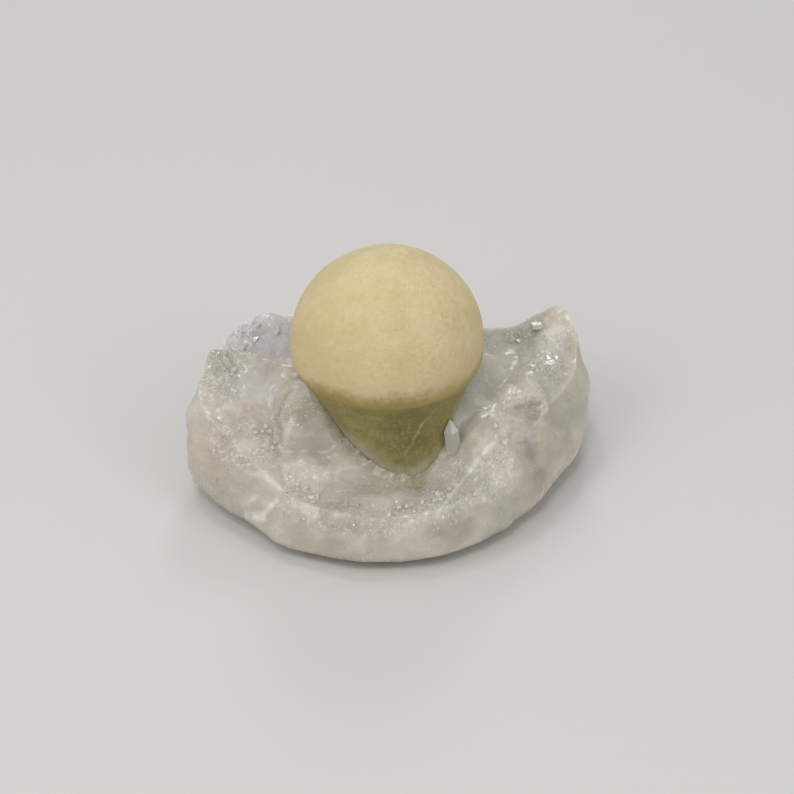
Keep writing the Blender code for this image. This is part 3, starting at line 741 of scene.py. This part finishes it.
def quartzMaterial(name, within):
    # within: 1 scatters the light inside, as in the mass; 0 only lets it through, as in the small points
    look = quartzLook
    made = bpy.data.materials.new(name)
    made.use_nodes = True
    tree = made.node_tree
    shader = tree.nodes["Principled BSDF"]
    place = addNode(tree, "TexCoord").outputs["Object"]
    warpInputs = {"Vector": place, "Scale": look["warpScale"], "Detail": 2.0}
    warp = addNode(tree, "TexNoise", warpInputs).outputs["Color"]
    shifted = scaled(tree, vectorMaths(tree, "SUBTRACT", warp, (0.5, 0.5, 0.5)), look["warpReach"])
    sugary = attribute(tree, "druse")
    size, start, full = look["cloud"]
    cloud = mapRange(tree, noise(tree, vectorMaths(tree, "ADD", place, shifted), size, 4.0), start, full)
    colour = quartzColour(tree, place, shifted, sugary, cloud)
    # the small points are whitened, a painted glint
    if not within:
        colour = mixColour(tree, look["pointPaintedGlint"], colour, look["white"])
    milky, clearest = look["transmission"] if within else look["pointTransmission"]
    smoothest, roughest = look["gloss"] if within else look["pointGloss"]
    setInputs(tree, shader, {
        "Base Color": colour,
        "Transmission Weight": mapRange(tree, cloud, 0.0, 1.0, clearest, milky),
        "Roughness": mapRange(tree, noise(tree, place, 1.2, 5.0), 0.3, 0.7, smoothest, roughest),
        "IOR": look["ior"],
        "Subsurface Weight": look["subsurface"] * within,
        "Subsurface Radius": look["scatterRadius"],
        "Subsurface Scale": look["scatterScale"],
        "Normal": quartzBump(tree, place, shifted, sugary),
    })
    if within:
        inner = addNode(tree, "VolumeAbsorption", {"Color": look["absorbColour"], "Density": look["absorb"]})
        setInputs(tree, tree.nodes["Material Output"], {"Volume": inner.outputs["Volume"]})
    return made


def nearRoot(rings, leftOfTip):
    # how much of the root's colour shows: by a power of the nearness, in patches, and not high up
    reach, more, sharpness = quartzDetail["tint"]
    top, fade = quartzDetail["tintTop"]
    near = np.clip(1 - fromRoot(rings) / (reach + more * leftOfTip), 0, 1) ** sharpness
    near = near * np.clip((top - rings[..., 2]) / fade, 0, 1)
    return near * np.clip(0.90 + 0.25 * waves(rings, *quartzDetail["tintPatches"]), 0, 1)


def makeQuartzMass(material):
    detail = quartzDetail
    rings, climb = quartzRings()
    rings = roughened(rings, climb)
    normals = gridNormals(rings)
    sugary = druse(rings) * (climb[:, None] > detail["druseClimb"])
    height = np.zeros(rings.shape[:2])
    for layer in ("coarse", "fine"):
        cell, relief, seed = detail[layer]
        strength = relief + detail[layer + "Druse"] * sugary
        height += strength * (facets(rings, cell, seed) - detail["facetMean"])
    wavelength, relief, seed = detail["ripple"]
    height += relief * waves(rings, wavelength, seed)
    lifted = np.clip(climb / quartzForm["footFade"], 0, 1)[:, None]
    rings = rings + normals * (height * lifted)[..., None]
    # against the left of the root the quartz rises by the square of the nearness, raggedly
    upper = climb[:, None] > 1
    end, softness = detail["leftEnd"]
    leftOfTip = 1 / (1 + np.exp((rings[..., 0] - end) / softness)) * upper
    reach, rise, wavelength, seed = detail["fillet"]
    ragged = np.clip(0.55 + 0.45 * waves(rings, wavelength, seed), 0, 1.2)
    fillet = np.clip(1 - fromRoot(rings) / reach, 0, 1) ** 2 * leftOfTip
    top, fade = detail["filletTop"]
    rings[..., 2] += rise * ragged * fillet * np.clip((top - rings[..., 2]) / fade, 0, 1)
    sugary = np.maximum(sugary, detail["filletSugar"] * np.sqrt(fillet))
    near = nearRoot(rings, leftOfTip) * upper
    rings = pocketed(rings, climb)
    low, high = (np.array(corner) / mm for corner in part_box("quartz_matrix"))
    rings = np.clip(rings, low, high)
    mesh = meshFromRings("quartzMass", rings, (0, 0, 0), tuple(rings[-1].mean(axis=0)))
    ends = [0.0, 0.0]
    addAttribute(mesh, "druse", np.concatenate([sugary.ravel(), ends]))
    addAttribute(mesh, "rootward", np.concatenate([near.ravel(), ends]))
    mesh.shade_smooth()
    mesh.set_sharp_from_angle(angle=math.radians(32))
    addPiece("quartzMass", mesh, material, "quartz", "quartz_matrix")
    print("quartz mass", len(mesh.polygons), "triangles")
    return rings, normals, sugary


quartz = quartzMaterial("quartz", 1.0)
quartzSmall = quartzMaterial("quartzSmall", 0.0)
quartzGrid, quartzNormals, quartzSugary = makeQuartzMass(quartz)

# larger crystal points, as in the solids: azimuths, shares, how many, widest
pointPatches = {
    "frontRidge": ((229, 303), (0.85, 0.95), 36, 1.4),
    "rightRim": ((312, 331), (0.82, 0.94), 8, 1.4),
    "rightWing": ((4, 21), (0.76, 0.92), 10, 1.6),
    "rightCrest": ((24, 40), (0.80, 0.94), 7, 1.6),
    "leftCorner": ((169, 183), (0.80, 0.95), 9, 1.4),
    "leftBand": ((194, 211), (0.68, 0.84), 8, 1.2),
    "backLeft": ((134, 157), (0.78, 0.94), 10, 1.7),
    "back": ((66, 106), (0.78, 0.93), 10, 2.0),
}
pointForm = {
    "seed": 11,
    "root": 1.5,
    "cover": 0.10,
    "tip": 0.52,
    "narrowest": 0.6,
    "spread": 0.32,
    "flattening": 0.85,
    "slopeStep": 0.8,
    "rootCrystal": ((9.5, -9.7, 9.4), (-0.14, 0.12, 1.0), 2.8, 5.0, 1.6),  # foot, axis, width, length, tip
}
sugarForm = {
    "seed": 61,
    "count": 1800,
    "crowding": 1.5,
    "strays": 0.02,
    "clearOfRoot": 0.4,
    "narrowest": 0.22,
    "widest": 0.60,
    "mostlyNarrow": 2.2,
    "sunk": 0.6,
    "footShare": 1.1,
    "tip": 0.22,
    "spread": 0.42,
}


def crystalMesh(name, feet, axes, widths, lengths, tips, turns):
    # many six-sided points at once: a prism from the foot to its shoulder, then a pyramid
    axes = axes / np.linalg.norm(axes, axis=1, keepdims=True)
    helper = np.where(np.abs(axes[:, 2:3]) < 0.9, (0.0, 0.0, 1.0), (1.0, 0.0, 0.0))
    side = np.cross(axes, helper)
    side /= np.linalg.norm(side, axis=1, keepdims=True)
    other = np.cross(axes, side)
    angles = np.radians(60 * np.arange(6))[None, :] + turns[:, None]
    reach = side[:, None] * np.cos(angles)[..., None]
    reach = reach + other[:, None] * (pointForm["flattening"] * np.sin(angles))[..., None]
    base = feet[:, None] + reach * widths[:, None, None] / 2
    shoulder = base + (axes * lengths[:, None])[:, None]
    apex = (feet + axes * (lengths + tips)[:, None])[:, None]
    points = np.concatenate([base, shoulder, apex], axis=1)
    k = np.arange(6)
    beside = (k + 1) % 6
    faces = np.concatenate([
        np.stack([k, beside, beside + 6], axis=1),
        np.stack([k, beside + 6, k + 6], axis=1),
        np.stack([k + 6, beside + 6, np.full(6, 12)], axis=1),
        [(0, 2, 1), (0, 3, 2), (0, 4, 3), (0, 5, 4)],
    ])
    offsets = (np.arange(len(feet)) * 13)[:, None, None]
    mesh = meshFromTriangles(name, points.reshape(-1, 3) * mm, (faces[None] + offsets).reshape(-1, 3))
    mesh.shade_flat()
    return mesh


def onTop(x, y):
    # place on the uneven upper side, and the direction at right angles to it
    step = pointForm["slopeStep"]
    z = float(upperSide(x, y))
    slopeX = (float(upperSide(x + step, y)) - z) / step
    slopeY = (float(upperSide(x, y + step)) - z) / step
    push, faceted = unevenness(np.array((x, y, z)))
    z += float(push * quartzForm["waveUpward"] + faceted * quartzForm["facetUpward"])
    return np.array((x, y, z)), np.array((-slopeX, -slopeY, 1)) / math.sqrt(slopeX**2 + slopeY**2 + 1)


def makePoints(material):
    form = pointForm
    random = np.random.default_rng(form["seed"])
    crystals = []  # foot, axis, width, length, tip
    for azimuths, shares, count, widest in pointPatches.values():
        for _ in range(count):
            azimuth = random.uniform(*azimuths)
            radius = random.uniform(*shares) * float(rimRadius(azimuth % 360))
            turn = math.radians(azimuth)
            place, upright = onTop(radius * math.cos(turn), radius * math.sin(turn))
            axis = upright + random.normal(size=3) * form["spread"]
            axis /= np.linalg.norm(axis)
            width = widest * random.uniform(form["narrowest"], 1.0)
            length = form["root"] - width * form["cover"]
            crystals.append((place - axis * form["root"], axis, width, length, width * form["tip"]))
    crystals.append(form["rootCrystal"])
    arrays = [np.array(column, float) for column in zip(*crystals)]
    mesh = crystalMesh("quartzPoints", *arrays, np.zeros(len(crystals)))
    addPiece("quartzPoints", mesh, material, "quartz")
    print("quartz points", len(crystals))


def makeSugar(material, grid, normals, sugary):
    # small points on grid places picked at random, more often where the surface is sugary
    form = sugarForm
    random = np.random.default_rng(form["seed"])
    chance = sugary ** form["crowding"] + form["strays"] * (sugary > 0.01)
    chance = chance * np.hypot(grid[..., 0], grid[..., 1])
    chance[fromRoot(grid) < form["clearOfRoot"]] = 0
    chance = chance.ravel() / chance.sum()
    picked = random.choice(chance.size, form["count"], replace=False, p=chance)
    at = grid.reshape(-1, 3)[picked]
    axes = normals.reshape(-1, 3)[picked] + random.normal(size=at.shape) * form["spread"]
    axes /= np.linalg.norm(axes, axis=1, keepdims=True)
    size = random.uniform(0, 1, len(at)) ** form["mostlyNarrow"]
    widths = form["narrowest"] + (form["widest"] - form["narrowest"]) * size
    sunk = widths * form["sunk"]
    feet = at - axes * (sunk * form["footShare"])[:, None]
    turns = random.uniform(0, 2 * math.pi, len(at))
    mesh = crystalMesh("quartzSugar", feet, axes, widths, sunk, widths * form["tip"], turns)
    addPiece("quartzSugar", mesh, material, "quartz")
    print("quartz sugar", len(at))


makePoints(quartzSmall)
makeSugar(quartzSmall, quartzGrid, quartzNormals, quartzSugary)

fluoriteLook = {
    "ior": 1.434,
    "cream": (0.60, 0.50, 0.270, 1),
    "pale": (0.66, 0.56, 0.325, 1),
    "band": (0.61, 0.49, 0.295, 1),
    "deep": (0.51, 0.41, 0.195, 1),
    "rimBrown": (0.335, 0.245, 0.078, 1),
    "rimGold": (0.39, 0.315, 0.11, 1),
    "olive": (0.365, 0.312, 0.10, 1),
    "oliveDark": (0.20, 0.168, 0.052, 1),
    "oliveGrey": (0.36, 0.32, 0.155, 1),
    "fleck": (0.50, 0.47, 0.27, 1),
    # the root's pale foot, made lighter to stand against the shade where the root faces down: partly painted
    # light
    "paleLitRootFoot": (0.57, 0.52, 0.385, 1),
    "vein": (0.56, 0.53, 0.34, 1),
    "speck": (0.10, 0.07, 0.04, 1),
    "dot": (0.82, 0.74, 0.52, 1),
    "broadSize": 6.0,
    "fineSize": 0.7,
    "streakSize": 2.2,
    "dotSize": 0.34,
    "dotShare": 0.34,
    "deepShare": 0.36,
    "bandHeights": (6.5, 3.0, 0.7),  # heights over the rim at which it starts and is full, share
    "rimHeights": (3.2, 0.3),
    "rootHeights": (0.6, -1.0),
    "ragged": 2.6,  # how far the rim's edge wanders
    "dark": ((3.2, -11.5, 16.0), 1.2, 6.2),  # middle of the dark place, inner and outer reach
    "veins": [  # start, end, share
        ((7.4, -10.1, 19.2), (4.7, -11.1, 16.7), 0.35),
        ((4.7, -11.1, 16.7), (2.4, -12.1, 12.4), 0.50),
    ],
    "veinReach": 0.28,
    "paleAndLitReach": (2.6, 5.5),  # height over the quartz up to which the root pales: mostly, low on the left, where the longer reach is painted light on the root's down-facing, shaded side
    "pitShadePlace": (8.2, -10.2, 21.0),
    "rootTransmission": 0.18,
    "subsurface": 0.4,
    "scatterRadius": (1.0, 0.75, 0.35),
    "scatterScale": 1.4 * mm,
}


def skinColour(tree, place, broad, fine, wavy, rightwards):
    # cream with deeper and paler grains, a beige band over the rim, and a brown to golden edge
    look = fluoriteLook
    colour = mixColour(tree, mapRange(tree, broad, 0.35, 0.65), look["cream"], look["pale"])
    deeper = times(tree, mapRange(tree, fine, 0.52, 0.34), look["deepShare"])
    colour = mixColour(tree, deeper, colour, look["deep"])
    dots = voronoi(tree, place, look["dotSize"])
    dot = mapRange(tree, dots["Distance"], 0.12, 0.42, 1.0, 0.0)
    chosen = mapRange(tree, addNode(tree, "SeparateColor", {0: dots["Color"]}).outputs[0], 0.60, 0.85)
    paleDot = times(tree, times(tree, dot, chosen), look["dotShare"])
    colour = mixColour(tree, paleDot, colour, look["dot"])
    start, full, share = look["bandHeights"]
    band = times(tree, mapRange(tree, wavy, start, full), share)
    colour = mixColour(tree, band, colour, look["band"])
    rimHere = mixColour(tree, rightwards, look["rimBrown"], look["rimGold"])
    leftwards = mapRange(tree, coordinate(tree, place, "X"), -2 * mm, -9 * mm)
    lowered = maths(tree, "SUBTRACT", wavy, leftwards)
    return mixColour(tree, mapRange(tree, lowered, *look["rimHeights"]), colour, rimHere)


def rootColour(tree, place, fine, streak, rightwards):
    # olive with a dark place, clouds, mottles, flecks and veins, paler near the quartz, where the pale foot
    # is partly painted light against the root's own shade
    look = fluoriteLook
    height = coordinate(tree, place, "Z")
    colour = mixColour(tree, nearPoint(tree, place, *look["dark"]), look["olive"], look["oliveDark"])
    cloudy = times(tree, mapRange(tree, streak, 0.42, 0.66), 0.35)
    colour = mixColour(tree, cloudy, colour, look["oliveGrey"])
    colour = mixColour(tree, mapRange(tree, height, 12.5 * mm, 8.5 * mm), colour, look["oliveGrey"])
    mottled = mapRange(tree, noise(tree, place, 1.5, 5.0, 0.7), 0.54, 0.40)
    colour = mixColour(tree, times(tree, mottled, 0.42), colour, look["oliveDark"])
    flecks = mapRange(tree, noise(tree, place, 0.5, 3.0, 0.7), 0.54, 0.68)
    colour = mixColour(tree, times(tree, flecks, 0.46), colour, look["fleck"])
    for start, end, share in look["veins"]:
        vein = times(tree, nearLine(tree, place, start, end, look["veinReach"]), share)
        colour = mixColour(tree, vein, colour, look["vein"])
    # the pale foot: partly the root fading into the quartz, partly painted light, lighter than the blend and
    # reaching higher on the low left, where the root faces down into its own shade
    foot = plus(tree, attribute(tree, "overQuartz"), wandering(tree, streak, 4.0))
    foot = plus(tree, foot, wandering(tree, fine, 2.0))
    farLeft = mapRange(tree, coordinate(tree, place, "X"), 3.5 * mm, -2.5 * mm)
    lowLeft = times(tree, mapRange(tree, height, 16 * mm, 12.5 * mm), farLeft)
    paleAndLitReach = mapRange(tree, lowLeft, 0.0, 1.0, *look["paleAndLitReach"])
    pale = mapRange(tree, maths(tree, "DIVIDE", foot, paleAndLitReach), 1.0, 0.0)
    pale = times(tree, pale, mapRange(tree, rightwards, 0.3, 0.9, 1.0, 0.45))
    return mixColour(tree, pale, colour, look["paleLitRootFoot"])


def fluoriteMaterial():
    look = fluoriteLook
    made = bpy.data.materials.new("fluorite")
    made.use_nodes = True
    tree = made.node_tree
    shader = tree.nodes["Principled BSDF"]
    place = addNode(tree, "TexCoord").outputs["Object"]
    broad = noise(tree, place, look["broadSize"])
    fine = noise(tree, place, look["fineSize"], 5.0, 0.7)
    streak = noise(tree, place, look["streakSize"], 4.0, 0.6)
    # wavy = height over the rim in mm, with a wandering edge
    wavy = plus(tree, attribute(tree, "overRim"), wandering(tree, streak, look["ragged"]))
    wavy = plus(tree, wavy, wandering(tree, fine, look["ragged"]))
    rightwards = mapRange(tree, coordinate(tree, place, "X"), 2 * mm, 8 * mm)
    root = mapRange(tree, wavy, *look["rootHeights"])
    skin = skinColour(tree, place, broad, fine, wavy, rightwards)
    colour = mixColour(tree, root, skin, rootColour(tree, place, fine, streak, rightwards))
    # a dark dot where the skin has a pit: painted shade in the pit
    speck = nearPoint(tree, place, look["pitShadePlace"], 0.12, 0.35)
    colour = mixColour(tree, times(tree, speck, 0.85), colour, look["speck"])
    matte = mapRange(tree, fine, 0.3, 0.7, 0.46, 0.66)
    glassy = mapRange(tree, broad, 0.3, 0.7, 0.30, 0.48)
    grain = times(tree, tiltedCells(tree, place, look["dotSize"]), 0.34)
    pits = times(tree, noise(tree, place, 0.6, 5.0, 0.7), 0.09 * mm)
    bump = addNode(tree, "Bump", {"Height": plus(tree, grain, pits), "Strength": 0.6, "Distance": 1.0})
    setInputs(tree, shader, {
        "Base Color": colour,
        "Roughness": addNode(tree, "Mix", {0: root, 2: matte, 3: glassy}, data_type="FLOAT").outputs[0],
        "IOR": look["ior"],
        "Subsurface Weight": look["subsurface"],
        "Subsurface Radius": look["scatterRadius"],
        "Subsurface Scale": look["scatterScale"],
        "Transmission Weight": times(tree, root, look["rootTransmission"]),
        "Normal": bump.outputs["Normal"],
    })
    return made


def makeFluorite(material):
    # a turned profile: a circle's arc down to just below the widest place, then the root's rings to its tip
    form = fluoriteForm
    turn = np.arange(form["around"]) * 2 * math.pi / form["around"]
    circle = np.stack([np.cos(turn), np.sin(turn), 0 * turn], axis=1)
    angles = np.radians(np.linspace(0, form["lowest"], form["ballRings"] + 1)[1:])
    heights = form["height"] + form["radius"] * form["squash"] * np.cos(angles)
    radii = form["radius"] * np.sin(angles)
    tip = form["tip"]
    lowerEnd = (heights[-1], 0, 0, radii[-1])
    root = np.array([lowerEnd, *form["root"], (tip[2], *tip[:2], 0.05)]).T
    run = np.linspace(0, root.shape[1] - 1, form["rootRings"] + 1)[1:]
    knots = np.arange(root.shape[1])
    root = [smoothThrough(np.stack([knots, row], axis=1), run) for row in root]
    rootHeights, rootX, rootY, rootRadii = root
    heights = np.concatenate([heights, rootHeights])
    radii = np.concatenate([radii, rootRadii])
    centres = np.stack([np.r_[0 * angles, rootX], np.r_[0 * angles, rootY], heights], axis=1)
    rings = circle[None] * radii[:, None, None] + centres[:, None]
    middle = np.array((0, 0, form["height"]))
    wavelength, relief, seed = form["waves"]
    swell = 1 + relief / form["radius"] * waves(rings, wavelength, seed)
    for wavelength, relief, seed in form["grain"]:
        swell = swell + relief / form["radius"] * waves(rings, wavelength, seed, 40)
    rings = middle + (rings - middle) * swell[..., None]
    low, high = (np.array(corner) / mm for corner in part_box("fluorite_ball"))
    rings = np.clip(rings, low, high)[::-1]
    top = (0, 0, min(high[2], form["height"] + form["radius"] * form["squash"]))
    mesh = meshFromRings("fluoriteBall", rings, tip, top)
    azimuth = np.degrees(np.arctan2(rings[..., 1], rings[..., 0])) % 360
    overRim = rings[..., 2] - around(form["rimLine"], azimuth)
    overQuartz = rings[..., 2] - upperSide(rings[..., 0], rings[..., 1])
    addAttribute(mesh, "overRim", np.concatenate([overRim.ravel(), [-15.0, 15.0]]))
    addAttribute(mesh, "overQuartz", np.concatenate([overQuartz.ravel(), [-5.0, 15.0]]))
    mesh.shade_smooth()
    addPiece("fluoriteBall", mesh, material, "fluorite", "fluorite_ball")
    print("fluorite ball", len(mesh.polygons), "triangles")


makeFluorite(fluoriteMaterial())
